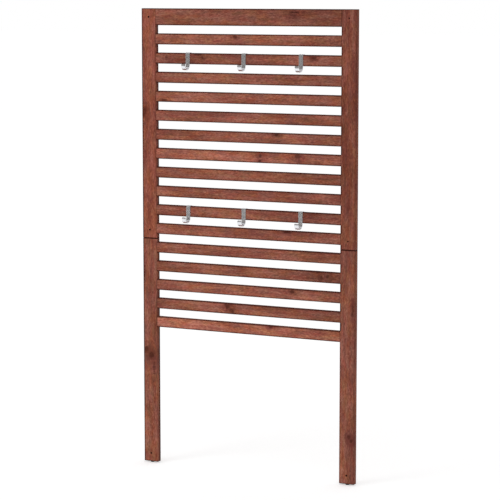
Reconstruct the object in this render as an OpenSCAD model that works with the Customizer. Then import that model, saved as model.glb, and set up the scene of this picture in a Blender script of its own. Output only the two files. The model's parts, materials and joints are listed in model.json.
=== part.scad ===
// Slatted outdoor wall panel in two sections, with hooks hung over two of its slats.
// Millimetres. X runs across the panel, Y from its front to its back, and Z up.
// The origin is at floor level, midway between the posts, in the plane of the boards' front faces.

/* [Posts] */
// Width of the panel over its two posts
panel_w = 800; // [700:5:900]
// Length of each of the four posts
post_len = 788; // [740:2:860]
// Width of a post, seen from the front
post_w = 55; // [52:1:65]
// Thickness of the posts and of the top rail
post_t = 20; // [18:1:26]
// Radius of the eased long edges of every board
arris_r = 2.5; // [1:0.5:3]
// Chamfer round the ends of a post
end_chamfer = 1.25; // [0.5:0.25:2]

/* [Rail and slats] */
// Height of the top rail
rail_h = 57; // [45:1:70]
// Height of a slat
slat_h = 37.5; // [32:0.5:45]
// Thickness of a slat
slat_t = 14; // [12:1:16]
// Height from the joint between the sections up to the lowest slat of the upper one
seam_margin = 16; // [8:1:20]
// Length of a tenon
tenon_len = 12; // [8:1:13]
// Thickness of a tenon
tenon_t = 7; // [5:0.5:8]
// Shoulder above and below a tenon
tenon_shoulder = 5; // [3:0.5:8]
// Play between a tenon and its mortise, on each side
tenon_play = 0.1; // [0.05:0.05:0.3]

/* [Holes for the wall screws] */
// Diameter of a wall screw's hole
wall_hole_d = 5; // [4:0.5:7]
// Distance from a post's end to the middle of its wall screw hole
wall_hole_inset = 29; // [26:1:34]

/* [Joints between the sections] */
// Diameter of a dowel
dowel_d = 8; // [6:1:9]
// Length of a dowel
dowel_len = 40; // [24:1:42]
// Distance between the two dowels of a joint
dowel_spacing = 16; // [12:1:17]
// Play round a dowel
dowel_play = 0.1; // [0.05:0.05:0.3]
// Width of a joining plate
plate_w = 36; // [32:1:44]
// Length of a joining plate
plate_len = 96; // [88:1:120]
// Thickness of a joining plate
plate_t = 2; // [1.5:0.5:3]
// Corner radius of a joining plate
plate_corner_r = 4; // [1:0.5:6]
// Play round a joining plate in its recess
plate_play = 0.2; // [0.1:0.1:0.5]
// Diameter of the hole in a plate that leaves room for the wall screw
plate_relief_d = 10; // [8:0.5:12]
// Distance between a plate's screws, across the post
plate_screw_spacing_x = 24; // [20:1:24]
// Distance between a plate's screws, along the post
plate_screw_spacing_z = 76; // [74:1:78]
// Diameter of a plate screw's shank
screw_d = 3.5; // [2.5:0.5:4]
// Diameter of a plate screw's head
screw_head_d = 7; // [6:0.5:7.5]
// Length of a plate screw
screw_len = 12; // [8:1:14]
// Play round a screw
screw_play = 0.05; // [0.05:0.05:0.2]

/* [Glides] */
// Height of the plastic glide under a post
glide_h = 4; // [3:0.5:8]
// Diameter of a glide
glide_d = 13; // [10:0.5:16]
// Eased lower edge of a glide
glide_edge = 1; // [0.5:0.25:2]
// Diameter of a glide's nail
nail_d = 2; // [1.5:0.25:3]
// Length of a glide's nail
nail_len = 14; // [10:1:20]

/* [Hooks] */
// Width of the strip that a hook is bent from
hook_w = 15; // [12:1:22]
// Thickness of the strip
strip_t = 2; // [1.5:0.25:3]
// Corner radius at the strip's two ends
strip_corner_r = 3; // [1:0.5:4]
// Gap between a hook and its slat
hook_play = 0.3; // [0.2:0.1:0.8]
// Outer radius of the bend that things hang in
hook_bend_r = 17; // [12:0.5:20]
// Height from the middle of that bend up to the slat's lower edge
hook_drop = 2.5; // [0:0.5:6]
// Height of the hook's front end above the middle of its bend
hook_tip = 4; // [4:0.5:8]
// How far a hook reaches down behind its slat
hook_back = 18; // [12:1:30]
// Distance between neighbouring hooks
hook_spacing = 211; // [150:1:240]
// Place of the middle hooks, from the middle of the panel
hook_middle_x = -10; // [-30:1:30]

/* [Hidden] */
upper_slats = 11;
slat_count = 16;
upper_hook_slat = 2;
lower_hook_slat = 10;

seam_z = glide_h + post_len;
top_z = seam_z + post_len;
post_x = (panel_w - post_w) / 2;
opening_w = panel_w - 2 * post_w;
pitch = (post_len - rail_h - seam_margin) / upper_slats;
// Cutters run this far past the faces that they open
past = 1;
// Length of a countersunk head or a pointed end, at 45 degrees
function cone_len(d) = d / 2;
// Width, length and depth of the arms of a screw head's cross recess
recess_w = screw_d * 0.25;
recess_len = screw_d * 1.1;
recess_depth = screw_d * 0.3;
dowel_edge = dowel_d / 8;
arc_fn = 48;

stain = "#8c4e40";
dark_stain = "#7d4337";
zinc = "#b9bcbd";
beech = "#cfae84";
black_plastic = "#1b1b1c";
hook_metal = "#a9a59f";

sides = [["left", -1], ["right", 1]];
hook_rows = [["upper", upper_hook_slat], ["lower", lower_hook_slat]];
hook_columns = [["left", -1], ["middle", 0], ["right", 1]];

function slat_name(i) = str("slat_", i < 10 ? "0" : "", i);
function hook_name(row, column) = str("hook_", row[0], "_", column[0]);
// Height of a slat's lower edge, counted down from the top rail
function slat_z(i) = top_z - rail_h - i * pitch;

// Rectangle with one corner at the origin and all four corners eased
module eased_outline(a, b, r) {
    translate([r, 0]) square([a - 2 * r, b]);
    translate([0, r]) square([a, b - 2 * r]);
    for (x = [r, a - r], y = [r, b - r])
        translate([x, y]) circle(r, $fn = arc_fn);
}

// Turns an outline in y and z, pushed out along z, so that it runs along X
module along_x() {
    rotate([90, 0, 90]) children();
}

// Turns a body of revolution that runs up, so that it runs from back to front
module towards_front() {
    rotate([90, 0, 0]) children();
}

// Bar through both tenons of a board h high and t thick, or the cutter for their mortises
module tenons(h, t, z, play = 0) {
    tenon_h = h - 2 * tenon_shoulder;
    translate([-opening_w / 2 - tenon_len - play, (t - tenon_t) / 2 - play, z + tenon_shoulder - play])
        cube([opening_w + 2 * (tenon_len + play), tenon_t + 2 * play, tenon_h + 2 * play]);
}

// Board that lies across the opening between the posts
module cross_board(h, t, z) {
    translate([-opening_w / 2, 0, z])
        along_x() linear_extrude(opening_w) eased_outline(t, h, arris_r);
    tenons(h, t, z);
}

module top_rail() {
    color(stain) cross_board(rail_h, post_t, top_z - rail_h);
}

module slat(i) {
    color(stain) cross_board(slat_h, slat_t, slat_z(i));
}

module at_dowels(side) {
    for (x = [-dowel_spacing / 2, dowel_spacing / 2])
        translate([side * post_x + x, post_t / 2, seam_z]) children();
}

module at_plate_screws(side) {
    for (x = [-plate_screw_spacing_x / 2, plate_screw_spacing_x / 2],
         z = [-plate_screw_spacing_z / 2, plate_screw_spacing_z / 2])
        translate([side * post_x + x, post_t, seam_z + z]) towards_front() children();
}

module wall_hole(side, z, d) {
    translate([side * post_x, post_t + past, z])
        towards_front() cylinder(h = post_t + 2 * past, d = d, $fn = arc_fn);
}

// Joining plate without its holes, or the cutter for its recess
module plate_blank(side, play = 0, proud = 0) {
    translate([side * post_x - plate_w / 2 - play, post_t + proud, seam_z - plate_len / 2 - play])
        towards_front() linear_extrude(plate_t + proud)
            eased_outline(plate_w + 2 * play, plate_len + 2 * play, plate_corner_r + play);
}

// Countersunk screw with its head's top at the origin, pointing up, or the cutter for its hole
module screw_body(play = 0) {
    shank_r = screw_d / 2 + play;
    head_r = screw_head_d / 2 + play;
    point = cone_len(screw_d);
    rotate_extrude($fn = arc_fn) polygon([
        [0, 0], [head_r, 0], [shank_r, head_r - shank_r],
        [shank_r, screw_len - point], [0, screw_len + play]
    ]);
}

module joint_cuts(side) {
    at_dowels(side)
        cylinder(h = dowel_len + 2 * past, d = dowel_d + 2 * dowel_play, center = true, $fn = arc_fn);
    plate_blank(side, plate_play, past);
    at_plate_screws(side) screw_body(screw_play);
}

// Outline of a post w wide, seen square to that width, with its corners chamfered
module post_view(w) {
    h = post_len;
    c = end_chamfer;
    polygon([
        [c, 0], [w - c, 0], [w, c], [w, h - c],
        [w - c, h], [c, h], [0, h - c], [0, c]
    ]);
}

module post_blank(side, z) {
    translate([side * post_x - post_w / 2, 0, z]) intersection() {
        linear_extrude(post_len) eased_outline(post_w, post_t, arris_r);
        translate([0, post_t + past, 0]) towards_front() linear_extrude(post_t + 2 * past) post_view(post_w);
        translate([-past, 0, 0]) along_x() linear_extrude(post_w + 2 * past) post_view(post_t);
    }
}

module upper_post(side) {
    color(stain) difference() {
        post_blank(side, seam_z);
        tenons(rail_h, post_t, top_z - rail_h, tenon_play);
        for (i = [1 : upper_slats]) tenons(slat_h, slat_t, slat_z(i), tenon_play);
        wall_hole(side, top_z - wall_hole_inset, wall_hole_d);
        wall_hole(side, seam_z + wall_hole_inset, wall_hole_d);
        joint_cuts(side);
    }
}

module lower_post(side) {
    color(dark_stain) difference() {
        post_blank(side, glide_h);
        for (i = [upper_slats + 1 : slat_count]) tenons(slat_h, slat_t, slat_z(i), tenon_play);
        wall_hole(side, glide_h + wall_hole_inset, wall_hole_d);
        joint_cuts(side);
        at_glide(side) nail_hole();
    }
}

module seam_dowels(side) {
    r = dowel_d / 2;
    color(beech) at_dowels(side) translate([0, 0, -dowel_len / 2])
        rotate_extrude($fn = arc_fn) polygon([
            [0, 0], [r - dowel_edge, 0], [r, dowel_edge],
            [r, dowel_len - dowel_edge], [r - dowel_edge, dowel_len], [0, dowel_len]
        ]);
}

module joining_plate(side) {
    color(zinc) difference() {
        plate_blank(side);
        wall_hole(side, seam_z + wall_hole_inset, plate_relief_d);
        at_plate_screws(side) screw_body(screw_play);
    }
}

module plate_screws(side) {
    color(zinc) at_plate_screws(side) difference() {
        screw_body();
        for (turn = [0, 90]) rotate(turn)
            translate([-recess_len / 2, -recess_w / 2, -past])
                cube([recess_len, recess_w, recess_depth + past]);
    }
}

module at_glide(side) {
    translate([side * post_x, post_t / 2, 0]) children();
}

module nail_hole() {
    translate([0, 0, glide_h - past])
        cylinder(h = nail_len + 2 * past, d = nail_d + 2 * screw_play, $fn = arc_fn);
}

module glide(side) {
    r = glide_d / 2;
    nail_r = nail_d / 2;
    color(black_plastic) at_glide(side) rotate_extrude($fn = arc_fn) polygon([
        [0, 0], [r - glide_edge, 0], [r, glide_edge], [r, glide_h],
        [nail_r, glide_h], [nail_r, glide_h + nail_len - cone_len(nail_d)], [0, glide_h + nail_len]
    ]);
}

// Part of a ring round the origin that lies in the box from low to high
module ring_part(outer_r, low, high) {
    intersection() {
        difference() {
            circle(outer_r, $fn = arc_fn);
            circle(outer_r - strip_t, $fn = arc_fn);
        }
        translate(low) square(high - low);
    }
}

// Straight end of the strip, h high, in x and z, with its two top corners rounded
module strip_end(h) {
    r = strip_corner_r;
    towards_front() linear_extrude(strip_t) union() {
        square([hook_w, h - r]);
        translate([r, 0]) square([hook_w - 2 * r, h]);
        for (x = [r, hook_w - r]) translate([x, h - r]) circle(r, $fn = arc_fn);
    }
}

// The hook's side view from the end of its back to the start of its tip, in y and z,
// with the slat's top front edge at the origin
module hook_side() {
    inner_r = arris_r + hook_play;
    top_r = inner_r + strip_t;
    front_y = -hook_play;
    back_y = slat_t + hook_play;
    bend_z = hook_play - inner_r;
    middle_z = -slat_h - hook_drop;
    translate([front_y - strip_t, middle_z]) square([strip_t, bend_z - middle_z]);
    translate([front_y + inner_r, bend_z])
        ring_part(top_r, [-top_r, 0], [0, top_r]);
    translate([front_y + inner_r, hook_play])
        square([back_y - front_y - 2 * inner_r, strip_t]);
    translate([back_y - inner_r, bend_z])
        ring_part(top_r, [0, 0], [top_r, top_r]);
    translate([front_y - hook_bend_r, middle_z])
        ring_part(hook_bend_r, [-hook_bend_r, -hook_bend_r], [hook_bend_r, 0]);
}

module hook(row, column) {
    inner_r = arris_r + hook_play;
    x = hook_middle_x + column[1] * hook_spacing;
    color(hook_metal) translate([x - hook_w / 2, 0, slat_z(row[1]) + slat_h]) {
        along_x() linear_extrude(hook_w) hook_side();
        translate([0, slat_t + hook_play + strip_t, hook_play - inner_r])
            mirror([0, 0, 1]) strip_end(hook_back - inner_r + hook_play);
        translate([0, strip_t - hook_play - 2 * hook_bend_r, -slat_h - hook_drop])
            strip_end(hook_tip);
    }
}

upper_post(-1);  // upper_left_post
upper_post(1);  // upper_right_post
lower_post(-1);  // lower_left_post
lower_post(1);  // lower_right_post
top_rail();
for (i = [1 : slat_count])
    slat(i);
for (row = hook_rows, column = hook_columns)
    hook(row, column);
for (side = sides) {
    seam_dowels(side[1]);
    joining_plate(side[1]);
    plate_screws(side[1]);
    glide(side[1]);
}
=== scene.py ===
import json
import math
from collections import namedtuple
from functools import partial

import bpy
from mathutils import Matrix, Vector

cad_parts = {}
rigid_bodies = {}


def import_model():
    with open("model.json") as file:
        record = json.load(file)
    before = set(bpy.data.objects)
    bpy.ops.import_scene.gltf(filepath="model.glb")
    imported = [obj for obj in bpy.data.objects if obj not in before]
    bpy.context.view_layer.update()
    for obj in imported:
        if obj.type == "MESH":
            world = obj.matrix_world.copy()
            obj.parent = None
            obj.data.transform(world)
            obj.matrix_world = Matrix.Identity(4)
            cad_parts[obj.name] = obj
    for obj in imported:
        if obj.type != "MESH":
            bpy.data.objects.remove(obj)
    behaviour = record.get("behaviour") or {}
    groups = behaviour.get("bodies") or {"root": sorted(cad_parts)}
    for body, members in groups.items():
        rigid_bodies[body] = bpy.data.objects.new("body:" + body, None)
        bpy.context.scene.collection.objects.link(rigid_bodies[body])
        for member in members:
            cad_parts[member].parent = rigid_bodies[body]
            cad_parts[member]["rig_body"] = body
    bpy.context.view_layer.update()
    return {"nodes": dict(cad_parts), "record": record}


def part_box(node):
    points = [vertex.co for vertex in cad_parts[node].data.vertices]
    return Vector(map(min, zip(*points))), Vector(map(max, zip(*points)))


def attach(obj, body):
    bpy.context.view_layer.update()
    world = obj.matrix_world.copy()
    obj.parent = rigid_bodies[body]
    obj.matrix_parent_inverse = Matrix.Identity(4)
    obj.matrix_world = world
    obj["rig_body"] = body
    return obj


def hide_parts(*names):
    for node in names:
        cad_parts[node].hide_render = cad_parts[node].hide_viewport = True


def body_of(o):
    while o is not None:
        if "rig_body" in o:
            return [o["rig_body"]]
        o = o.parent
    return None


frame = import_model()

bl_info = {
    "name": "Outdoor Wall Panel",
    "version": (1, 0, 0),
    "blender": (4, 5, 0),
    "location": "View3D > Sidebar > Wall Panel",
    "description": "Stained boards, bent hooks, glides and fittings of a slatted wall panel for outdoors",
    "category": "Add Mesh",
}

MM = 0.001
WHITE = (1.0, 1.0, 1.0, 1.0)
ZINC_PLATING = "#c3c6c8"
SENSOR_WIDTH = 36
SHARP_ANGLE = math.radians(50)
SIDES = ("left", "right")
ROWS = ("upper", "lower")
COLUMNS = ("left", "middle", "right")
SLATS = [name for name in sorted(frame["nodes"]) if name.startswith("slat_")]

# Knots and dark streaks on a board: the middle's place along the board, from the middle of the
# panel or up from the floor, and across it, from the middle of the board, then the radius, all in
# millimetres, how dark the core is, and how many times longer than wide
Knot = namedtuple("Knot", "along across radius dark stretch", defaults=(1.7,))
KNOTS = {
    "top_rail": [Knot(177, 17, 4, 0.7, 6), Knot(176, 8, 3, 0.45, 7), Knot(172, 0, 3, 0.45, 8)],
    "slat_01": [Knot(-42, 9, 7, 0.65), Knot(-48, -14, 3.5, 0.4, 5)],
    "slat_02": [
        Knot(-302, 3, 10, 0.3, 1), Knot(-183, 15, 5, 0.6, 4), Knot(-166, 2, 6, 0.4, 1),
        Knot(247, 9, 7, 0.6)],
    "slat_04": [Knot(-311, -13, 7, 0.6, 2.4)],
    "slat_06": [Knot(110, 12, 7, 0.7), Knot(115, -8, 3, 0.3, 8)],
    "slat_07": [
        Knot(51, 5, 9, 0.6, 0.8), Knot(50, -13, 8, 0.7, 1), Knot(190, 8, 9, 0.5),
        Knot(197, -8, 8, 0.4, 0.9), Knot(260, -15, 4, 0.4)],
    "slat_11": [Knot(152, 13, 5, 0.8, 4.5)],
    "slat_13": [Knot(278, -3, 8, 0.55, 0.8), Knot(300, 3, 9, 0.6, 1), Knot(265, 16, 4, 0.5, 3)],
    "slat_14": [Knot(170, 9, 7, 0.65)],
    "slat_15": [Knot(-72, 8, 13, 0.6, 1.1), Knot(-57, -6, 10, 0.5, 1.3), Knot(-45, -16, 5, 0.5, 3.5)],
    "slat_16": [Knot(91, 13, 5, 0.65, 2.2)],
    "upper_left_post": [Knot(1228, -19, 12, 0.5, 2)],
    "lower_left_post": [
        Knot(402, -16, 10, 0.55, 1.2), Knot(382, 4, 14, 0.65, 1.2), Knot(335, 14, 5, 0.4, 8),
        Knot(663, -23, 4, 0.5, 4)],
    "lower_right_post": [Knot(590, 19, 6, 0.6, 5), Knot(165, 8, 8, 0.55, 1.2), Knot(152, 17, 8, 0.65, 1.2)],
}
# How many radii from its middle a knot pushes and darkens the grain, where its core starts to fade,
# in radii too, and how dark it is round it, as a share of how dark the core is
KNOT_BEND = 3.5
KNOT_CORE = 0.4
KNOT_SHADE = 0.4

# How light a board took the stain, against the middle tone, how much redder it came out, and how
# dark the painted shade is round the rims of its holes
Tone = namedtuple("Tone", "light ruddy rims", defaults=(0.95,))
PLAIN = Tone(1.0, 0.0)
PALEST = Tone(1.37, 0.0)
PALE = Tone(1.3, 0.0)
LIGHT = Tone(1.14, 0.0)
RICH = Tone(1.07, 0.0)
DULL = Tone(0.95, 0.1)
DARK = Tone(0.91, 0.1)
DIM = Tone(0.84, 0.1)
RUDDY = Tone(1.0, 0.9)
DEEP = Tone(0.79, 0.7, 0.0)
TONES = {
    "slat_01": LIGHT,
    "slat_02": DULL,
    "slat_03": DARK,
    "slat_04": LIGHT,
    "slat_05": RICH,
    "slat_06": RICH,
    "slat_07": PALE,
    "slat_08": DARK,
    "slat_09": LIGHT,
    "slat_10": DULL,
    "slat_11": LIGHT,
    "slat_12": RICH,
    "slat_13": DARK,
    "slat_14": LIGHT,
    "slat_15": DULL,
    "slat_16": PALEST,
    "top_rail": DIM,
    "upper_left_post": RUDDY,
    "upper_right_post": DEEP,
    "lower_left_post": DULL,
}

# How much painted shade lies on the narrow side that faces left or down, and on the one that faces
# right or up, then how much stain and painted shade lie on the arrises beside each, how far it
# reaches from an arris, in millimetres, which side meets the slats, and how much painted shade lies
# in the joint with a slat. The sides of the posts that face each other have most
Stain = namedtuple("Stain", "low high low_arris high_arris reach slat_side joint", defaults=("", 0))
SLAT_STAIN_AND_SHADE = Stain(0.5, 0.6, 0.85, 0.88, 4.4)
SIDE_STAIN_AND_SHADE = {
    "left": Stain(0.0, 0.8, 1.0, 0.1, 5.6, "high", 0.27),
    "right": Stain(0.95, 0.0, 1.0, 0.25, 6, "low"),
}
# The share of the inner arris's stain and painted shade that is left on a leg, below the slats, which shade
# it less
LEG_SHADE_SHARE = 0.3

# A board: the axis that it runs along, its lowest and highest corner, in millimetres, its knots,
# tone, stain and painted shade, and where in the noise its grain lies, a step further on for each board
Board = namedtuple("Board", "grain low high knots tone stain seed")
SEED_STEP = 3.7

# A pattern of the grain: its size along and across the grain, in millimetres, its detail, and how
# much it weighs in how light the grain is. Each lies a step away from the last in the noise
Pattern = namedtuple("Pattern", "name long wide detail weight")
PATTERN_STEP = 9.1


def linear(code):
    """The linear colour of an sRGB hex value, with alpha."""
    parts = [int(code[i:i + 2], 16) / 255 for i in (1, 3, 5)]
    return tuple(c / 12.92 if c <= 0.04045 else ((c + 0.055) / 1.055) ** 2.4 for c in parts) + (1.0,)


def scaled(rgba, factor):
    """A colour made lighter or darker by a factor."""
    return tuple(c * factor for c in rgba[:3]) + (1.0,)


def colour(name, text, code):
    """A colour property with an sRGB hex default."""
    return bpy.props.FloatVectorProperty(
        name=name, description=text, subtype="COLOR", size=4, min=0, max=1, default=linear(code))


def length(name, text, millimetres):
    """A length property with its default in millimetres."""
    return bpy.props.FloatProperty(
        name=name, description=text, unit="LENGTH", min=0, default=millimetres * MM)


class BoardSettings(bpy.types.PropertyGroup):
    """Colours and grain of the stained boards."""
    dark: colour("Dark grain", "Stain in the soft, open parts of the grain", "#6e3d35")
    middle: colour("Middle tone", "Most of a board's face", "#8e5547")
    light: colour("Light grain", "Stain on the hard, close parts of the grain", "#ad7060")
    dull: colour("Dull drift", "Tint where the stain came out duller", "#f1ffff")
    ruddy: colour("Ruddy drift", "Tint where the stain came out redder", "#ffe9e6")
    warm: colour("Warm drift", "Tint where the stain came out warmer", "#ffffe4")
    knot: colour("Knot", "Core of a knot", "#3c170c")
    # This colour is also the painted shade on the narrow sides, in the bores and between the slats
    edge: colour("Edges", "Arrises, narrow sides and bores, where the stain gathers", "#38120a")
    streak_width: length("Streak width", "Width of the broad streaks of the grain", 9)
    fibre_width: length("Fibre width", "Width of the fine lines, drawn coarse enough to show", 1.6)


class HookSettings(bpy.types.PropertyGroup):
    """Sizes and finish of the bent hooks."""
    strip: length("Strip thickness", "Thickness of the strip that a hook is bent from", 2)
    edge: length("Eased edge", "Radius along the strip's edges, from tumbling", 0.5)
    corner: length("End corners", "Corner radius at the strip's two ends", 3)
    play: length("Play", "Gap between a hook and its slat", 0.3)
    top_bend: length("Top bend", "Outer radius of the two bends over the slat", 4.8)
    back: length("Back", "How far a hook reaches down behind its slat", 18)
    bend: length("Hook bend", "Outer radius of the bend that things hang in", 17)
    tip: length("Tip", "Height of the front end above the middle of that bend", 4)
    metal: colour("Metal", "Satin zinc on the strip", "#f0f2f6")


class GlideSettings(bpy.types.PropertyGroup):
    """Sizes and finish of the glides under the posts."""
    height: length("Height", "Height of the plastic under the post", 4)
    edge: length("Eased edge", "Radius of the lower edge", 1)
    draft: length("Draft", "Chamfer of the upper edge", 0.25)
    dimple: length("Dimple", "Radius of the hollow over the nail's head", 2.4)
    dimple_depth: length("Dimple depth", "Depth of that hollow", 0.5)
    nail: length("Nail", "Diameter of the nail", 2)
    plastic: colour("Plastic", "Black moulded plastic", "#1b1b1c")


class StageSettings(bpy.types.PropertyGroup):
    """Camera and light."""
    camera_place: bpy.props.FloatVectorProperty(
        name="Camera place", description="Where the camera stands", subtype="TRANSLATION", unit="LENGTH",
        default=(2.991, -6.013, 1.649))
    camera_turn: bpy.props.FloatProperty(
        name="Camera turn", description="Turn to the left from looking straight at the wall",
        subtype="ANGLE", default=0.4598)
    camera_dip: bpy.props.FloatProperty(
        name="Camera dip", description="How far the camera looks down", subtype="ANGLE", default=0.1299)
    lens: bpy.props.FloatProperty(
        name="Lens", description="Focal length on a sensor 36 mm wide",
        subtype="DISTANCE_CAMERA", default=144.5)
    soft_light: bpy.props.FloatProperty(
        name="Soft light", description="Even light from all round", min=0, default=0.74)
    key_light: bpy.props.FloatProperty(
        name="Key light", description="Power of the large lamp at the front left",
        subtype="POWER", min=0, default=112)


def add_node(tree, kind, values=None, **settings):
    """Adds a node with its settings.

    values gives its inputs, by name or number: a constant, or the node or socket that feeds it."""
    node = tree.nodes.new(kind)
    for name, value in settings.items():
        setattr(node, name, value)
    for key, value in (values or {}).items():
        sockets = [s for s in node.inputs if s.enabled and s.name == key] or [node.inputs[key]]
        if isinstance(value, bpy.types.Node):
            value = next(s for s in value.outputs if s.enabled)
        if isinstance(value, bpy.types.NodeSocket):
            tree.links.new(value, sockets[0])
        else:
            sockets[0].default_value = value
    return node


def new_material(name):
    """An empty material, with the function that adds nodes to it."""
    material = bpy.data.materials.new(name)
    material.use_nodes = True
    material.node_tree.nodes.clear()
    return material, partial(add_node, material.node_tree)


def place_in_mm(node):
    """Place in the frame, in millimetres."""
    place = node("ShaderNodeTexCoord").outputs["Object"]
    return node("ShaderNodeVectorMath", {0: place, "Scale": 1 / MM}, operation="SCALE")


def board_place(node, board):
    """Place on a board in millimetres: along the panel, then across and into the board from its middle."""
    middle = (board.low + board.high) / 2
    origin = (0, middle.y, middle.z) if board.grain == "X" else (middle.x, middle.y, 0)
    place = node("ShaderNodeVectorMath", {0: place_in_mm(node), 1: origin}, operation="SUBTRACT")
    parts = node("ShaderNodeSeparateXYZ", {0: place}).outputs
    order = "XZY" if board.grain == "X" else "ZXY"
    return node("ShaderNodeCombineXYZ", {to: parts[name] for to, name in zip("XYZ", order)})


def from_knot(node, place, knot):
    """Distance from a knot's middle, shortened along the board by as much as the knot is stretched."""
    apart = node("ShaderNodeVectorMath", {0: place, 1: (knot.along, knot.across, 0)}, operation="SUBTRACT")
    apart = node("ShaderNodeVectorMath", {0: apart, 1: (1 / knot.stretch, 1, 0)}, operation="MULTIPLY")
    return node("ShaderNodeVectorMath", {0: apart}, operation="LENGTH").outputs["Value"]


def knot_shapes(node, place, knots):
    """How far the knots push the grain aside, how dark their cores are, and how dark it is round them."""
    across = node("ShaderNodeSeparateXYZ", {0: place}).outputs["Y"]
    # The outline of a knot is ragged by about 3 mm
    ragged = node("ShaderNodeTexNoise", {"Vector": place, "Scale": 1 / 6, "Detail": 3, "Roughness": 0.6})
    ragged = node("ShaderNodeVectorMath", {
        0: ragged.outputs["Color"], 1: (0.5, 0.5, 0.5)}, operation="SUBTRACT")
    ragged = node("ShaderNodeVectorMath", {0: ragged, "Scale": 12}, operation="SCALE")
    ragged = node("ShaderNodeVectorMath", {0: place, 1: ragged}, operation="ADD")
    push = core = halo = 0.0
    for knot in knots:
        near = node("ShaderNodeMapRange", {
            "Value": from_knot(node, place, knot), "From Max": KNOT_BEND * knot.radius,
            "To Min": 1, "To Max": 0}, interpolation_type="SMOOTHERSTEP")
        offset = node("ShaderNodeMath", {0: across, 1: knot.across}, operation="SUBTRACT")
        push = node("ShaderNodeMath", {0: offset, 1: near, 2: push}, operation="MULTIPLY_ADD")
        dark = node("ShaderNodeMapRange", {
            "Value": from_knot(node, ragged, knot), "From Min": KNOT_CORE * knot.radius,
            "From Max": knot.radius, "To Min": knot.dark, "To Max": 0}, interpolation_type="SMOOTHSTEP")
        core = node("ShaderNodeMath", {0: core, 1: dark}, operation="MAXIMUM")
        shade = node("ShaderNodeMath", {0: near, 1: KNOT_SHADE * knot.dark}, operation="MULTIPLY")
        halo = node("ShaderNodeMath", {0: halo, 1: shade}, operation="MAXIMUM")
    return push, core, halo


def grain_flow(node, place, push, seed):
    """Place in the grain, which drifts across the board, about 10 mm over 300 mm, and parts round knots."""
    along, across, depth = node("ShaderNodeSeparateXYZ", {0: place}).outputs
    drift = node("ShaderNodeMapping", {
        0: place, "Location": (seed, -seed, 0), "Scale": (1 / 320, 1 / 90, 1 / 90)})
    drift = node("ShaderNodeTexNoise", {"Vector": drift, "Scale": 1, "Detail": 1})
    field = node("ShaderNodeMath", {0: drift, 1: 26, 2: across}, operation="MULTIPLY_ADD")
    field = node("ShaderNodeMath", {0: field, 1: push}, operation="SUBTRACT")
    return node("ShaderNodeCombineXYZ", {"X": along, "Y": field, "Z": depth})


def grain_layers(node, flow, look, seed):
    """The patterns of the grain, by name, and how light they make it together, about one half."""
    # Pores and fibres are finer than this in the wood, and are drawn as coarse as they need to show
    fibre, streak = look.fibre_width / MM, look.streak_width / MM
    patterns = (
        Pattern("fibres", 30, fibre, 2, 0.5),
        Pattern("pores", 13, 2 * fibre, 3, 0.6),
        Pattern("streaks", 110, streak, 3, 0.6),
        Pattern("mottle", 9, 3.5, 2, 0.85),
        Pattern("vessels", 7, 0.5 * fibre, 1, 0),
        Pattern("blotches", 60, 30, 2, 0.3),
        Pattern("clouds", 260, 60, 2, 0.8),
        Pattern("hue", 45, 12, 3, 0),
        Pattern("warmth", 60, 25, 2, 0),
    )
    layers, mix = {}, 0.5
    for pattern in patterns:
        space = node("ShaderNodeMapping", {
            0: flow, "Location": (seed * 1.7, seed, len(layers) * PATTERN_STEP),
            "Scale": (1 / pattern.long, 1 / pattern.wide, 1 / pattern.wide)})
        layer = node("ShaderNodeTexNoise", {
            "Vector": space, "Scale": 1, "Detail": pattern.detail, "Roughness": 0.6})
        layers[pattern.name] = layer
        if pattern.weight:
            level = node("ShaderNodeMath", {
                0: layer, 1: pattern.weight, 2: -pattern.weight / 2}, operation="MULTIPLY_ADD")
            mix = node("ShaderNodeMath", {0: mix, 1: level}, operation="ADD")
    return layers, mix


def grain_ramp(node, mix, look):
    """Colour of the grain, from dark over the middle tone to light."""
    ramp = node("ShaderNodeValToRGB", {"Fac": mix})
    for element, position, shade in zip(ramp.color_ramp.elements, (0.2, 0.8), (look.dark, look.light)):
        element.position = position
        element.color = shade
    ramp.color_ramp.elements.new(0.5).color = look.middle
    return ramp


def drifting_stain(node, body, layers, ruddy, look):
    """The colour of the grain, tinted where the stain came out duller, redder or warmer."""
    # Hue runs from about -1, red, to about 1, dull, and warmth from about -1 to 1
    hue = node("ShaderNodeMath", {0: layers["hue"], 1: 6.5, 2: -3.25 - ruddy}, operation="MULTIPLY_ADD")
    warmth = node("ShaderNodeMath", {0: layers["warmth"], 1: 5, 2: -2.1}, operation="MULTIPLY_ADD")
    for value, way, tint in ((hue, 1, look.dull), (hue, -1, look.ruddy), (warmth, 1, look.warm)):
        part = node("ShaderNodeMath", {0: value, 1: way}, operation="MULTIPLY", use_clamp=True)
        body = node("ShaderNodeMix", {
            "Factor": part, "A": body, "B": tint}, data_type="RGBA", blend_type="MULTIPLY")
    return body


def lightness_with_painted_falloff(node, place, board):
    """How light a board is. The ones between the posts get painted shade towards their right ends."""
    light = board.tone.light
    # Painted shade: the slats and the rail darken towards their right ends
    if board.grain == "X":
        along = node("ShaderNodeSeparateXYZ", {0: place}).outputs["X"]
        light = node("ShaderNodeMapRange", {
            "Value": along, "From Min": 100, "From Max": 350,
            "To Min": 1.02 * light, "To Max": 0.87 * light}, interpolation_type="SMOOTHSTEP")
    return light


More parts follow.
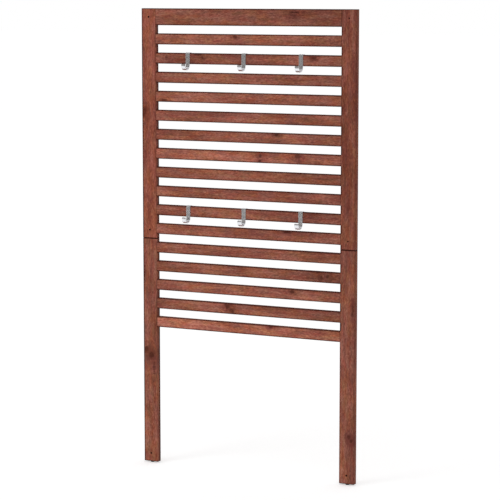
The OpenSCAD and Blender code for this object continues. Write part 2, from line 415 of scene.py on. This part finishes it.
def from_surfaces(node, place, board):
    """How far in from a board's ends, edges and faces a place is, in millimetres.

    An arris has two of the three at nought, and a bore has none."""
    middle, half = (board.low + board.high) / 2, (board.high - board.low) / 2
    if board.grain == "X":
        centre, reach = (middle.x, 0, 0), (half.x, half.z, half.y)
    else:
        centre, reach = (middle.z, 0, 0), (half.z, half.x, half.y)
    apart = node("ShaderNodeVectorMath", {0: place, 1: centre}, operation="SUBTRACT")
    apart = node("ShaderNodeVectorMath", {0: apart}, operation="ABSOLUTE")
    inside = node("ShaderNodeVectorMath", {0: reach, 1: apart}, operation="SUBTRACT")
    return node("ShaderNodeSeparateXYZ", {0: inside}).outputs


def inner_arris_shade(node, along, arris, joint):
    """Stain and painted shade on a post's inner arris: arris between slats, joint at a slat, little on
    legs.
    """
    rail, slat, next_slat, last_slat = [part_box(name) for name in ("top_rail", *SLATS[:2], SLATS[-1])]
    top, bottom = rail[0].z / MM, last_slat[0].z / MM
    gap, pitch = top - slat[1].z / MM, (slat[0].z - next_slat[0].z) / MM
    place = node("ShaderNodeMath", {0: along, 1: top - gap / 2}, operation="SUBTRACT")
    place = node("ShaderNodeMath", {0: place, 1: pitch / 2}, operation="PINGPONG")
    bare = node("ShaderNodeMapRange", {
        "Value": place, "From Min": gap / 2 - 1, "From Max": gap / 2 + 1, "To Min": arris, "To Max": joint})
    slatted = node("ShaderNodeMath", {
        0: along, 1: (top + bottom) / 2, 2: (top - bottom) / 2}, operation="COMPARE")
    return node("ShaderNodeMapRange", {"Value": slatted, "To Min": LEG_SHADE_SHARE * arris, "To Max": bare})


def arris_stain_and_shade(node, place, inside, stain, wander):
    """Stain and painted shade along the arrises: a soft line beside each narrow side, a fine one round the
    ends.
    """
    along, across, _ = node("ShaderNodeSeparateXYZ", {0: place}).outputs
    ends, edges, faces = inside
    strengths = {"low": stain.low_arris, "high": stain.high_arris}
    if stain.slat_side:
        strengths[stain.slat_side] = inner_arris_shade(node, along, strengths[stain.slat_side], stain.joint)
    strength = node("ShaderNodeMapRange", {
        "Value": across, "From Min": -1, "From Max": 1,
        "To Min": strengths["low"], "To Max": strengths["high"]})
    # The soft line is partly stain on the rounded arris and partly painted shade where the arris turns from
    # the light; between the slats it is painted shade on the post's inner side
    side_arris = node("ShaderNodeMath", {0: edges, 1: faces}, operation="MAXIMUM")
    side_arris = node("ShaderNodeMath", {0: side_arris, 1: wander}, operation="ADD")
    # The line fades from a third of its reach to a quarter beyond it
    line = node("ShaderNodeMapRange", {
        "Value": side_arris, "From Min": 0.35 * stain.reach, "From Max": 1.25 * stain.reach,
        "To Min": strength, "To Max": 0}, interpolation_type="SMOOTHSTEP")
    # The line round the ends is about 2 mm wide: dark end grain, and painted shade in the groove where two
    # ends meet
    nearest = node("ShaderNodeMath", {0: edges, 1: faces}, operation="MINIMUM")
    end_arris = node("ShaderNodeMath", {0: ends, 1: nearest}, operation="MAXIMUM")
    end_line = node("ShaderNodeMapRange", {
        "Value": end_arris, "From Min": 1.5, "From Max": 3, "To Min": 1, "To Max": 0})
    return node("ShaderNodeMath", {0: line, 1: end_line}, operation="MAXIMUM")


def narrow_side_shade(node, place, board):
    """Painted shade on the narrow sides, from about their middle line to the back."""
    normal = node("ShaderNodeTexCoord").outputs["Normal"]
    facing = node("ShaderNodeSeparateXYZ", {0: normal}).outputs["Z" if board.grain == "X" else "X"]
    side_shade = 0.0
    for sign, strength in ((-1, board.stain.low), (1, board.stain.high)):
        side = node("ShaderNodeMapRange", {
            "Value": facing, "From Min": 0.5 * sign, "From Max": 0.9 * sign, "To Max": strength})
        side_shade = node("ShaderNodeMath", {0: side_shade, 1: side}, operation="MAXIMUM")
    depth = node("ShaderNodeSeparateXYZ", {0: place}).outputs["Z"]
    half = (board.high.y - board.low.y) / 2
    deeper = node("ShaderNodeMapRange", {
        "Value": depth, "From Min": -0.3 * half, "From Max": 0.1 * half})
    return node("ShaderNodeMath", {0: side_shade, 1: deeper}, operation="MULTIPLY")


def rim_shade_round_holes(node, place, board):
    """Painted shade round the rims of the holes for the wall screws, which the record's bolt patterns give.
    """
    flat = node("ShaderNodeVectorMath", {0: place, 1: (1, 1, 0)}, operation="MULTIPLY")
    rims = 0.0
    for mount in [m for m in frame["record"]["mounts"] if m["kind"] == "bolt_pattern"]:
        middle, radius = mount["pos_m"][2] / MM, mount["dims"]["hole_r_mm"]
        rise = mount["dims"].get("spacing_y_mm", 0) / 2
        for hole in sorted({middle - rise, middle + rise}):
            if board.low.z < hole < board.high.z:
                apart = node("ShaderNodeVectorMath", {0: flat, 1: (hole, 0, 0)}, operation="DISTANCE")
                rim = node("ShaderNodeMapRange", {
                    "Value": apart.outputs["Value"], "From Min": radius + 0.5, "From Max": radius + 1.5,
                    "To Min": board.tone.rims, "To Max": 0})
                rims = node("ShaderNodeMath", {0: rims, 1: rim}, operation="MAXIMUM")
    return rims


def bore_shade(node, place, inside, board):
    """Painted shade inside the bores, and on a post round the rims of its holes."""
    ends, edges, faces = inside
    nearest = node("ShaderNodeMath", {0: edges, 1: faces}, operation="MINIMUM")
    nearest = node("ShaderNodeMath", {0: ends, 1: nearest}, operation="MINIMUM")
    hole_shade = node("ShaderNodeMapRange", {"Value": nearest, "From Min": 0.5, "From Max": 1.5, "To Max": 0.95})
    if board.grain == "Z":
        hole_shade = node("ShaderNodeMath", {0: hole_shade, 1: rim_shade_round_holes(node, place, board)}, operation="MAXIMUM")
    return hole_shade


def stain_and_painted_shade(node, place, board, blotches):
    """How much stain and painted shade lie on the arrises, and painted shade on the narrow sides and in the
    bores.
    """
    wander = node("ShaderNodeMath", {0: blotches, 1: 2.4, 2: -1.2}, operation="MULTIPLY_ADD")
    inside = from_surfaces(node, place, board)
    stain = arris_stain_and_shade(node, place, inside, board.stain, wander)
    for more in (narrow_side_shade(node, place, board), bore_shade(node, place, inside, board)):
        stain = node("ShaderNodeMath", {0: stain, 1: more}, operation="MAXIMUM")
    return stain


def stained_acacia(name, board):
    """Acacia, planed, sanded and stained: matt, with close mottled grain that parts round dark knots."""
    look = bpy.context.scene.wall_panel_boards
    material, node = new_material(name)
    place = board_place(node, board)
    push, core, halo = knot_shapes(node, place, board.knots)
    layers, mix = grain_layers(node, grain_flow(node, place, push, board.seed), look, board.seed)
    # Open vessels show as short dark dashes
    dashes = node("ShaderNodeMapRange", {
        "Value": layers["vessels"], "From Min": 0.58, "From Max": 0.66, "To Max": 0.3})
    darker = node("ShaderNodeMath", {0: halo, 1: dashes}, operation="ADD")
    mix = node("ShaderNodeMath", {0: mix, 1: darker}, operation="SUBTRACT")

    body = drifting_stain(node, grain_ramp(node, mix, look), layers, board.tone.ruddy, look)
    light = lightness_with_painted_falloff(node, place, board)
    body = node("ShaderNodeVectorMath", {0: body, "Scale": light}, operation="SCALE")
    body = node("ShaderNodeMix", {"Factor": core, "A": body, "B": look.knot}, data_type="RGBA")
    # The edge colour carries the stain on the arrises and the painted shade on narrow sides, in bores and
    # between slats
    stain_shade_share = stain_and_painted_shade(node, place, board, layers["blotches"])
    body = node("ShaderNodeMix", {"Factor": stain_shade_share, "A": body, "B": look.edge}, data_type="RGBA")

    # Matt all over, and duller where the pores are open
    rough = node("ShaderNodeMapRange", {"Value": layers["pores"], "To Min": 0.85, "To Max": 0.6})
    relief = node("ShaderNodeMath", {0: layers["fibres"], 1: layers["pores"]}, operation="ADD")
    for hollow in (core, dashes):
        relief = node("ShaderNodeMath", {0: relief, 1: hollow}, operation="SUBTRACT")
    bump = node("ShaderNodeBump", {"Height": relief, "Strength": 0.35, "Distance": 0.4 * MM})
    shader = node("ShaderNodeBsdfPrincipled", {
        "Base Color": body, "Roughness": rough, "Normal": bump, "IOR": 1.5, "Specular IOR Level": 0.1})
    node("ShaderNodeOutputMaterial", {"Surface": shader})
    return material


def satin_zinc(name, metal):
    """Mild steel strip, zinc plated and tumbled: soft grey metal with blurred reflections."""
    material, node = new_material(name)
    place = place_in_mm(node)
    # Drawing lines run down the strip, about 0.4 mm apart and 30 mm long
    lines = node("ShaderNodeMapping", {0: place, "Scale": (1 / 0.4, 1 / 30, 1 / 30)})
    lines = node("ShaderNodeTexNoise", {"Vector": lines, "Scale": 1, "Detail": 2})
    # Plating varies over about 6 mm
    clouds = node("ShaderNodeTexNoise", {"Vector": place, "Scale": 1 / 6, "Detail": 2})
    tint = node("ShaderNodeMix", {"Factor": clouds, "A": scaled(metal, 0.8), "B": metal}, data_type="RGBA")
    rough = node("ShaderNodeMapRange", {"Value": lines, "To Min": 0.22, "To Max": 0.34})
    bump = node("ShaderNodeBump", {"Height": lines, "Strength": 0.15, "Distance": 0.02 * MM})
    shader = node("ShaderNodeBsdfPrincipled", {
        "Base Color": tint, "Metallic": 1, "Roughness": rough, "Normal": bump})
    node("ShaderNodeOutputMaterial", {"Surface": shader})
    return material


def moulded_plastic(name, black):
    """Polyethylene, moulded in a spark-eroded tool: black with a fine matt grain."""
    material, node = new_material(name)
    # The grain of the tool is about 0.4 mm
    grit = node("ShaderNodeTexNoise", {"Vector": place_in_mm(node), "Scale": 1 / 0.4, "Detail": 2})
    tint = node("ShaderNodeMix", {"Factor": grit, "A": black, "B": scaled(black, 1.8)}, data_type="RGBA")
    rough = node("ShaderNodeMapRange", {"Value": grit, "To Min": 0.42, "To Max": 0.6})
    bump = node("ShaderNodeBump", {"Height": grit, "Strength": 0.3, "Distance": 0.03 * MM})
    shader = node("ShaderNodeBsdfPrincipled", {
        "Base Color": tint, "Roughness": rough, "Normal": bump, "IOR": 1.51})
    node("ShaderNodeOutputMaterial", {"Surface": shader})
    return material


def turned_beech(name):
    """Beech dowel, turned and fluted: pale, with short dark flecks along it."""
    material, node = new_material(name)
    # The flecks are about 0.7 mm wide and 4 mm long
    flecks = node("ShaderNodeMapping", {0: place_in_mm(node), "Scale": (1.4, 1.4, 1 / 4)})
    flecks = node("ShaderNodeTexNoise", {"Vector": flecks, "Scale": 1, "Detail": 2})
    tint = node("ShaderNodeMix", {
        "Factor": flecks, "A": linear("#b98f63"), "B": linear("#dcbf95")}, data_type="RGBA")
    rough = node("ShaderNodeMapRange", {"Value": flecks, "To Min": 0.5, "To Max": 0.65})
    bump = node("ShaderNodeBump", {"Height": flecks, "Strength": 0.2, "Distance": 0.05 * MM})
    shader = node("ShaderNodeBsdfPrincipled", {"Base Color": tint, "Roughness": rough, "Normal": bump})
    node("ShaderNodeOutputMaterial", {"Surface": shader})
    return material


def new_piece(name, points, faces, materials, replaces):
    """A mesh piece that rides on its CAD node's body and stands for that node."""
    mesh = bpy.data.meshes.new(name)
    mesh.from_pydata(points, [], faces)
    mesh.shade_smooth()
    mesh.set_sharp_from_angle(angle=SHARP_ANGLE)
    for material in materials:
        mesh.materials.append(material)
    piece = bpy.data.objects.new(name, mesh)
    bpy.context.scene.collection.objects.link(piece)
    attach(piece, body_of(frame["nodes"][replaces])[0])
    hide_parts(replaces)
    return piece


def walk(start, heading, moves, step_angle=math.radians(6)):
    """Points, headings and run lengths along lines and arcs in a plane.

    A move is the length of a line and 0, or the radius of an arc and its angle."""
    point, angle, run = Vector(start), heading, 0.0
    stations = [(point.copy(), angle, run)]
    for size, turn in moves:
        if turn == 0:
            point += size * Vector((math.cos(angle), math.sin(angle)))
            run += size
            stations.append((point.copy(), angle, run))
            continue
        count = max(2, round(abs(turn) / step_angle))
        for _ in range(count):
            part = turn / count
            chord = 2 * size * math.sin(abs(part) / 2)
            point += chord * Vector((math.cos(angle + part / 2), math.sin(angle + part / 2)))
            angle += part
            run += size * abs(part)
            stations.append((point.copy(), angle, run))
    return stations


def ease(run, radius):
    """How far a quarter round of that radius draws an outline in, at a distance run from its end."""
    left = max(radius - run, 0)
    return radius - math.sqrt(radius ** 2 - left ** 2)


def strip_ring(half_width, half_thickness, edge, corner_points=4):
    """Rounded outline of the strip, as (across, out) pairs, with a support point beside each eased edge."""
    support = half_width - 1.6 * edge
    ring = []
    for sign_across, sign_out, start in ((1, 1, 0), (-1, 1, 90), (-1, -1, 180), (1, -1, 270)):
        turns = [math.radians(start + 90 * i / (corner_points - 1)) for i in range(corner_points)]
        corner = [(sign_across * (half_width - edge) + edge * math.cos(turn),
                   sign_out * (half_thickness - edge) + edge * math.sin(turn)) for turn in turns]
        flat = (sign_across * support, sign_out * half_thickness)
        ring += [*corner, flat] if start in (0, 180) else [flat, *corner]
    return ring


def bend_strip(stations, centre_x, width, look):
    """Points and faces of a flat strip that follows the stations, with rounded corners at both ends."""
    total = stations[-1][2]
    points, faces = [], []
    for point, angle, run in stations:
        to_end = min(run, total - run)
        inset = ease(to_end, look.edge)
        # The eased edge keeps a tenth of its radius, so that no two points of the outline meet
        ring = strip_ring(
            width / 2 - max(ease(to_end, look.corner), inset), look.strip / 2 - inset,
            max(look.edge - inset, 0.1 * look.edge))
        for across, out in ring:
            points.append((
                centre_x + across, point.x - math.sin(angle) * out, point.y + math.cos(angle) * out))
    count = len(ring)
    for row in range(len(stations) - 1):
        for i in range(count):
            j = (i + 1) % count
            faces.append((row * count + j, row * count + i, (row + 1) * count + i, (row + 1) * count + j))
    faces.append(tuple(reversed(range(count))))
    faces.append(tuple(range(len(points) - count, len(points))))
    return points, faces


def end_lengths(look):
    """Short steps along a strip's end, which follow the curve of its corners and of its eased edge."""
    edge_runs = [look.edge * (1 - math.cos(math.radians(a))) for a in (30, 60, 90)]
    corner_runs = [look.corner * (1 - math.cos(math.radians(a))) for a in (40, 52, 64, 76, 90)]
    runs = [0, *edge_runs, *corner_runs]
    return [after - before for before, after in zip(runs, runs[1:])]


def hook_stations(low, high, look):
    """Side view of a hook from the end of its back, over the slat and down, to its tip."""
    half_t = look.strip / 2
    top_r, bend_r = look.top_bend - half_t, look.bend - half_t
    strap_y, back_y = low.y + 2 * look.bend - half_t, high.y - half_t
    slat_top = high.z - look.strip - look.play
    steps = end_lengths(look)
    back = high.z - look.top_bend - (slat_top - look.back) - sum(steps)
    top = back_y - strap_y - 2 * top_r
    front = high.z - look.top_bend - (low.z + look.bend)
    tip = look.tip - sum(steps)
    quarter = math.pi / 2
    moves = [(step, 0) for step in steps] + [
        (back, 0), (top_r, quarter), (top, 0), (top_r, quarter), (front, 0),
        (bend_r, -2 * quarter), (tip, 0),
    ] + [(step, 0) for step in reversed(steps)]
    return walk((back_y, slat_top - look.back), quarter, moves)


def turn_profile(profile, centre, count=64):
    """Points and faces of a body of revolution about a vertical axis, from (radius, height) pairs."""
    points, faces = [], []
    for radius, height in profile:
        for i in range(count):
            turn = 2 * math.pi * i / count
            points.append((centre.x + radius * math.cos(turn), centre.y + radius * math.sin(turn), height))
    for row in range(len(profile) - 1):
        for i in range(count):
            j = (i + 1) % count
            faces.append((row * count + i, row * count + j, (row + 1) * count + j, (row + 1) * count + i))
    faces.append(tuple(reversed(range(count))))
    faces.append(tuple(range(len(points) - count, len(points))))
    return points, faces


def glide_profile(radius, nail_top, look):
    """Half outline of a glide, from the hollow in its underside, up its side, to its nail's point."""
    hollow = [(look.dimple * part, look.dimple_depth * (1 - part ** 2)) for part in (0.1, 0.4, 0.7, 1)]
    turns = [math.radians(a) for a in range(-90, 1, 15)]
    edge = [(radius - look.edge * (1 - math.cos(t)), look.edge * (1 + math.sin(t))) for t in turns]
    upper_edge = [(radius, look.height - look.draft), (radius - look.draft, look.height)]
    nail_r = look.nail / 2
    nail = [(nail_r, look.height), (nail_r, nail_top - look.nail), (0.1 * nail_r, nail_top)]
    return hollow + edge + upper_edge + nail


def node_material(name, material):
    """Gives a CAD node its finish."""
    piece = frame["nodes"][name]
    piece.data.materials.clear()
    piece.data.materials.append(material)
    for face in piece.data.polygons:
        face.material_index = 0


class FinishBoards(bpy.types.Operator):
    """Gives the posts, the rail and the slats their stained wood"""
    bl_idname = "wall_panel.finish_boards"
    bl_label = "Stain the Boards"

    def execute(self, context):
        names = [n for n in sorted(frame["nodes"]) if n.endswith("post")] + ["top_rail"] + SLATS
        for number, name in enumerate(names):
            low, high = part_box(name)
            grain = "Z" if name.endswith("post") else "X"
            stain = SIDE_STAIN_AND_SHADE.get(name.split("_")[1], SLAT_STAIN_AND_SHADE)
            board = Board(
                grain, low / MM, high / MM, KNOTS.get(name, []), TONES.get(name, PLAIN), stain,
                SEED_STEP * number)
            node_material(name, stained_acacia(f"stained_acacia_{name}", board))
        return {"FINISHED"}


class FinishFittings(bpy.types.Operator):
    """Gives the joining plates, their screws and the dowels their finish"""
    bl_idname = "wall_panel.finish_fittings"
    bl_label = "Finish the Fittings"

    def execute(self, context):
        zinc = satin_zinc("zinc_plated_steel", linear(ZINC_PLATING))
        beech = turned_beech("turned_beech")
        for side in SIDES:
            node_material(f"{side}_joining_plate", zinc)
            node_material(f"{side}_plate_screws", zinc)
            node_material(f"{side}_seam_dowels", beech)
        return {"FINISHED"}


class BendHooks(bpy.types.Operator):
    """Bends a strip over its slat for each hook"""
    bl_idname = "wall_panel.bend_hooks"
    bl_label = "Bend the Hooks"

    def execute(self, context):
        look = context.scene.wall_panel_hooks
        metal = satin_zinc("satin_zinc_strip", tuple(look.metal))
        for name in [f"hook_{row}_{column}" for row in ROWS for column in COLUMNS]:
            low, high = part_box(name)
            stations = hook_stations(low, high, look)
            points, faces = bend_strip(stations, (low.x + high.x) / 2, high.x - low.x, look)
            new_piece(f"{name}_strip", points, faces, [metal], name)
        return {"FINISHED"}


class TurnGlides(bpy.types.Operator):
    """Makes the glides under the posts, each with its nail"""
    bl_idname = "wall_panel.turn_glides"
    bl_label = "Turn the Glides"

    def execute(self, context):
        look = context.scene.wall_panel_glides
        plastic = moulded_plastic("moulded_black_plastic", tuple(look.plastic))
        zinc = satin_zinc("zinc_plated_nail", linear(ZINC_PLATING))
        for side in SIDES:
            name = f"{side}_glide"
            low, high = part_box(name)
            profile = glide_profile((high.x - low.x) / 2, high.z, look)
            points, faces = turn_profile(profile, (low + high) / 2)
            piece = new_piece(f"{name}_moulding", points, faces, [plastic, zinc], name)
            for face in piece.data.polygons:
                face.material_index = int(face.center.z > look.height)
        return {"FINISHED"}


def as_backdrop(node):
    """1 where the camera or the metal sees a surface, and 0 where it only lights the panel."""
    path = node("ShaderNodeLightPath").outputs
    seen = node("ShaderNodeMath", {
        0: path["Is Camera Ray"], 1: path["Is Glossy Ray"]}, operation="MAXIMUM")
    return node("ShaderNodeMath", {0: seen, 1: path["Is Transmission Ray"]}, operation="MAXIMUM")


def new_sheet(context, name, material, corners):
    """A flat part of the studio with four corners."""
    mesh = bpy.data.meshes.new(name)
    mesh.from_pydata(corners, [], [(0, 1, 2, 3)])
    mesh.materials.append(material)
    sheet = bpy.data.objects.new(name, mesh)
    context.scene.collection.objects.link(sheet)
    return sheet


class SetStage(bpy.types.Operator):
    """Sets up the floor, the soft light and the camera"""
    bl_idname = "wall_panel.set_stage"
    bl_label = "Set the Stage"

    def execute(self, context):
        look = context.scene.wall_panel_stage
        self.add_floor(context)
        self.add_world(context, look)
        self.add_dark_side(context)
        self.add_key(context, look)
        self.add_camera(context, look)
        context.scene.view_settings.view_transform = "Standard"
        return {"FINISHED"}

    def add_floor(self, context):
        """A pale floor that the camera and the metal see as white, apart from the panel's shadow."""
        radius, lift = 60, 0.42
        material, node = new_material("pale_floor")
        matt = node("ShaderNodeBsdfDiffuse", {"Color": linear("#e6e6e6")})
        glow = node("ShaderNodeEmission", {"Color": WHITE, "Strength": lift})
        lifted = node("ShaderNodeAddShader", {0: matt, 1: glow})
        both = node("ShaderNodeMixShader", {0: as_backdrop(node), 1: matt, 2: lifted})
        node("ShaderNodeOutputMaterial", {"Surface": both})
        floor = new_sheet(context, "floor", material, [
            (-radius, -radius, 0), (radius, -radius, 0), (radius, radius, 0), (-radius, radius, 0)])

    def add_world(self, context, look):
        """Even soft light, which the camera and the metal see as white."""
        world = bpy.data.worlds.new("soft_light")
        world.use_nodes = True
        world.node_tree.nodes.clear()
        node = partial(add_node, world.node_tree)
        strength = node("ShaderNodeMapRange", {
            "Value": as_backdrop(node), "To Min": look.soft_light, "To Max": 1})
        shine = node("ShaderNodeBackground", {"Color": WHITE, "Strength": strength})
        node("ShaderNodeOutputWorld", {"Surface": shine})
        context.scene.world = world

    def add_dark_side(self, context):
        """A grey sheet for the unlit side of the studio behind the camera: a painted dark reflection, which
        only reflections show.
        """
        left, right, height, distance = -5, 5, 8, -3
        material, node = new_material("reflected_shade_sheet")
        matt = node("ShaderNodeBsdfDiffuse", {"Color": linear("#a6a29e")})
        node("ShaderNodeOutputMaterial", {"Surface": matt})
        card = new_sheet(context, "dark_side", material, [
            (left, distance, 0), (right, distance, 0),
            (right, distance, height), (left, distance, height)])
        for ray in ("camera", "diffuse", "shadow", "transmission", "volume_scatter"):
            setattr(card, f"visible_{ray}", False)

    def add_key(self, context, look):
        """One large lamp at the front left, so that sides that face right stay darker."""
        place, aim, size = Vector((-3.2, -5.0, 1.4)), Vector((0, 0, 0.8)), 2.5
        lamp = bpy.data.lights.new("key", "AREA")
        lamp.shape = "SQUARE"
        lamp.size = size
        lamp.energy = look.key_light
        key = bpy.data.objects.new("key", lamp)
        key.location = place
        key.rotation_euler = (aim - place).to_track_quat("-Z", "Y").to_euler()
        key.visible_glossy = False
        context.scene.collection.objects.link(key)

    def add_camera(self, context, look):
        """The photograph's viewpoint, without lens shift."""
        data = bpy.data.cameras.new("camera")
        data.sensor_width = SENSOR_WIDTH
        data.lens = look.lens
        camera = bpy.data.objects.new("camera", data)
        camera.location = look.camera_place
        camera.rotation_euler = (math.pi / 2 - look.camera_dip, 0, look.camera_turn)
        context.scene.collection.objects.link(camera)
        context.scene.camera = camera


class WallPanelPanel(bpy.types.Panel):
    """Lists the steps in the 3D view's sidebar"""
    bl_idname = "VIEW3D_PT_wall_panel"
    bl_label = "Wall Panel"
    bl_space_type = "VIEW_3D"
    bl_region_type = "UI"
    bl_category = "Wall Panel"

    def draw(self, context):
        for step in STEPS:
            self.layout.operator(step.bl_idname)


SETTINGS = {
    "wall_panel_boards": BoardSettings,
    "wall_panel_hooks": HookSettings,
    "wall_panel_glides": GlideSettings,
    "wall_panel_stage": StageSettings,
}
STEPS = (FinishBoards, FinishFittings, BendHooks, TurnGlides, SetStage)


def register():
    for kind in (*SETTINGS.values(), *STEPS, WallPanelPanel):
        bpy.utils.register_class(kind)
    for name, kind in SETTINGS.items():
        setattr(bpy.types.Scene, name, bpy.props.PointerProperty(type=kind))


def unregister():
    for name in SETTINGS:
        delattr(bpy.types.Scene, name)
    for kind in (WallPanelPanel, *reversed(STEPS), *reversed(SETTINGS.values())):
        bpy.utils.unregister_class(kind)


def main():
    register()
    for step in STEPS:
        group, name = step.bl_idname.split(".")
        getattr(getattr(bpy.ops, group), name)()


if __name__ == "__main__":
    main()
